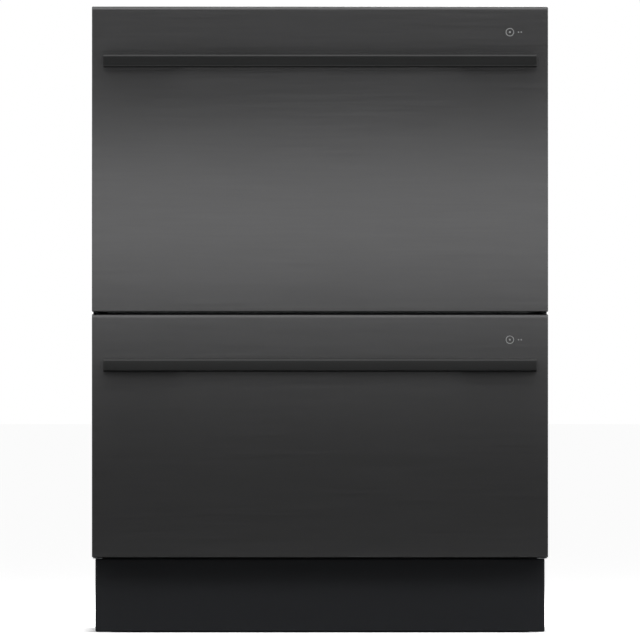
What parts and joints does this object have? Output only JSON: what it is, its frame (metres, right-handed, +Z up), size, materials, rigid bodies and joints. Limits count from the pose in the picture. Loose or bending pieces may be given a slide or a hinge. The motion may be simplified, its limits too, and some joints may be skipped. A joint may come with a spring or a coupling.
{
  "type": "dishwasher drawer",
  "caption": "Built-in dishwasher with stacked pull-out drawers: tubs on telescopic slides behind dark brushed steel fronts with bar handles.",
  "frame": {"origin": "on the floor, in the middle of the bounding box", "axes": "+X to the right seen from the front, +Y from the fronts to the back, +Z up"},
  "size_m": [0.597, 0.615, 0.82],
  "materials": {
    "dark_steel": "dark brushed stainless steel, horizontal grain",
    "dark_handle": "dark brushed cast metal",
    "galvanised_sheet": "satin zinc-coated sheet",
    "slide_steel": "satin zinc-plated steel",
    "black_sheet": "matte black coated sheet",
    "coated_wire": "satin nylon coating on steel wire",
    "carrier_plastic": "matte moulded plastic",
    "tub_plastic": "satin moulded plastic",
    "lid_plastic": "satin moulded plastic",
    "wash_plastic": "matte moulded plastic",
    "motor_plastic": "matte moulded plastic",
    "button": "satin moulded plastic",
    "rubber": "matte rubber"
  },
  "bodies": {
    "cabinet": {"left_side_panel": "galvanised_sheet", "right_side_panel": "galvanised_sheet", "top_panel": "galvanised_sheet", "back_panel": "galvanised_sheet", "middle_brace": "galvanised_sheet", "base_tray": "carrier_plastic", "toe_kick": "black_sheet", "supply_gland": "rubber", "upper_left_fixed_rail": "slide_steel", "upper_right_fixed_rail": "slide_steel", "lower_left_fixed_rail": "slide_steel", "lower_right_fixed_rail": "slide_steel"},
    "front_left_foot": {"front_left_foot": "carrier_plastic"},
    "front_right_foot": {"front_right_foot": "carrier_plastic"},
    "back_left_foot": {"back_left_foot": "carrier_plastic"},
    "back_right_foot": {"back_right_foot": "carrier_plastic"},
    "upper_drawer": {"upper_front_panel": "dark_steel", "upper_door_carrier": "carrier_plastic", "upper_handle": "dark_handle", "upper_tub": "tub_plastic", "upper_wash_motor": "motor_plastic", "upper_left_inner_rail": "slide_steel", "upper_right_inner_rail": "slide_steel", "upper_filter_plate": "wash_plastic", "upper_basket": "coated_wire", "upper_cutlery_basket": "wash_plastic", "upper_detergent_dispenser": "wash_plastic"},
    "upper_middle_slides": {"upper_left_middle_rail": "slide_steel", "upper_right_middle_rail": "slide_steel"},
    "upper_lid_unit": {"upper_lid": "lid_plastic", "upper_lid_seal": "rubber"},
    "upper_spray_arm": {"upper_spray_arm": "wash_plastic"},
    "upper_drain_filter": {"upper_drain_filter": "wash_plastic"},
    "upper_folding_tines": {"upper_folding_tines": "coated_wire"},
    "upper_cup_rack": {"upper_cup_rack": "coated_wire"},
    "upper_detergent_door": {"upper_detergent_door": "lid_plastic"},
    "upper_power_button": {"upper_power_button": "button"},
    "upper_start_button": {"upper_start_button": "button"},
    "lower_drawer": {"lower_front_panel": "dark_steel", "lower_door_carrier": "carrier_plastic", "lower_handle": "dark_handle", "lower_tub": "tub_plastic", "lower_wash_motor": "motor_plastic", "lower_left_inner_rail": "slide_steel", "lower_right_inner_rail": "slide_steel", "lower_filter_plate": "wash_plastic", "lower_basket": "coated_wire", "lower_cutlery_basket": "wash_plastic", "lower_detergent_dispenser": "wash_plastic"},
    "lower_middle_slides": {"lower_left_middle_rail": "slide_steel", "lower_right_middle_rail": "slide_steel"},
    "lower_lid_unit": {"lower_lid": "lid_plastic", "lower_lid_seal": "rubber"},
    "lower_spray_arm": {"lower_spray_arm": "wash_plastic"},
    "lower_drain_filter": {"lower_drain_filter": "wash_plastic"},
    "lower_folding_tines": {"lower_folding_tines": "coated_wire"},
    "lower_cup_rack": {"lower_cup_rack": "coated_wire"},
    "lower_detergent_door": {"lower_detergent_door": "lid_plastic"},
    "lower_power_button": {"lower_power_button": "button"},
    "lower_start_button": {"lower_start_button": "button"}
  },
  "joints": [
    {"name": "front_left_foot_height", "type": "slide", "parent": "cabinet", "child": "front_left_foot", "axis": [0, 0, -1], "range_m": [0, 0.06]},
    {"name": "front_right_foot_height", "type": "slide", "parent": "cabinet", "child": "front_right_foot", "axis": [0, 0, -1], "range_m": [0, 0.06]},
    {"name": "back_left_foot_height", "type": "slide", "parent": "cabinet", "child": "back_left_foot", "axis": [0, 0, -1], "range_m": [0, 0.06]},
    {"name": "back_right_foot_height", "type": "slide", "parent": "cabinet", "child": "back_right_foot", "axis": [0, 0, -1], "range_m": [0, 0.06]},
    {"name": "upper_drawer_slide", "type": "slide", "parent": "cabinet", "child": "upper_drawer", "axis": [0, -1, 0], "range_m": [0, 0.48]},
    {"name": "upper_middle_slide", "type": "slide", "parent": "cabinet", "child": "upper_middle_slides", "axis": [0, -1, 0], "range_m": [0, 0.24]},
    {"name": "upper_lid_drop", "type": "slide", "parent": "cabinet", "child": "upper_lid_unit", "axis": [0, 0, -1], "range_m": [0, 0.012]},
    {"name": "upper_spray_arm_spin", "type": "hinge", "parent": "upper_drawer", "child": "upper_spray_arm", "pos_m": [0, 0.0093, 0.5301], "axis": [0, 0, 1], "continuous": true},
    {"name": "upper_drain_filter_turn", "type": "hinge", "parent": "upper_drawer", "child": "upper_drain_filter", "pos_m": [0.15, -0.0857, 0.5146], "axis": [0, 0, 1], "range_deg": [0, 90]},
    {"name": "upper_tines_fold", "type": "hinge", "parent": "upper_drawer", "child": "upper_folding_tines", "pos_m": [0, -0.07213, 0.5691], "axis": [1, 0, 0], "range_deg": [0, 90]},
    {"name": "upper_cup_rack_fold", "type": "hinge", "parent": "upper_drawer", "child": "upper_cup_rack", "pos_m": [0.26, 0.0093, 0.6721], "axis": [0, 1, 0], "range_deg": [0, 90]},
    {"name": "upper_detergent_door_hinge", "type": "hinge", "parent": "upper_drawer", "child": "upper_detergent_door", "pos_m": [-0.036, -0.2141, 0.7037], "axis": [-1, 0, 0], "range_deg": [0, 100]},
    {"name": "upper_power_button_press", "type": "slide", "parent": "upper_drawer", "child": "upper_power_button", "axis": [0, 0, -1], "range_m": [0, 0.0008], "stiffness_N_per_m": 400, "springref_m": -0.001},
    {"name": "upper_start_button_press", "type": "slide", "parent": "upper_drawer", "child": "upper_start_button", "axis": [0, 0, -1], "range_m": [0, 0.0008], "stiffness_N_per_m": 400, "springref_m": -0.001},
    {"name": "lower_drawer_slide", "type": "slide", "parent": "cabinet", "child": "lower_drawer", "axis": [0, -1, 0], "range_m": [0, 0.48]},
    {"name": "lower_middle_slide", "type": "slide", "parent": "cabinet", "child": "lower_middle_slides", "axis": [0, -1, 0], "range_m": [0, 0.24]},
    {"name": "lower_lid_drop", "type": "slide", "parent": "cabinet", "child": "lower_lid_unit", "axis": [0, 0, -1], "range_m": [0, 0.012]},
    {"name": "lower_spray_arm_spin", "type": "hinge", "parent": "lower_drawer", "child": "lower_spray_arm", "pos_m": [0, 0.0093, 0.1618], "axis": [0, 0, 1], "continuous": true},
    {"name": "lower_drain_filter_turn", "type": "hinge", "parent": "lower_drawer", "child": "lower_drain_filter", "pos_m": [0.15, -0.0857, 0.1463], "axis": [0, 0, 1], "range_deg": [0, 90]},
    {"name": "lower_tines_fold", "type": "hinge", "parent": "lower_drawer", "child": "lower_folding_tines", "pos_m": [0, -0.07213, 0.2008], "axis": [1, 0, 0], "range_deg": [0, 90]},
    {"name": "lower_cup_rack_fold", "type": "hinge", "parent": "lower_drawer", "child": "lower_cup_rack", "pos_m": [0.26, 0.0093, 0.3038], "axis": [0, 1, 0], "range_deg": [0, 90]},
    {"name": "lower_detergent_door_hinge", "type": "hinge", "parent": "lower_drawer", "child": "lower_detergent_door", "pos_m": [-0.036, -0.2141, 0.334], "axis": [-1, 0, 0], "range_deg": [0, 100]},
    {"name": "lower_power_button_press", "type": "slide", "parent": "lower_drawer", "child": "lower_power_button", "axis": [0, 0, -1], "range_m": [0, 0.0008], "stiffness_N_per_m": 400, "springref_m": -0.001},
    {"name": "lower_start_button_press", "type": "slide", "parent": "lower_drawer", "child": "lower_start_button", "axis": [0, 0, -1], "range_m": [0, 0.0008], "stiffness_N_per_m": 400, "springref_m": -0.001}
  ],
  "couplings": [
    {"joint": "upper_middle_slide", "follows": "upper_drawer_slide", "ratio": 0.5},
    {"joint": "lower_middle_slide", "follows": "lower_drawer_slide", "ratio": 0.5}
  ]
}
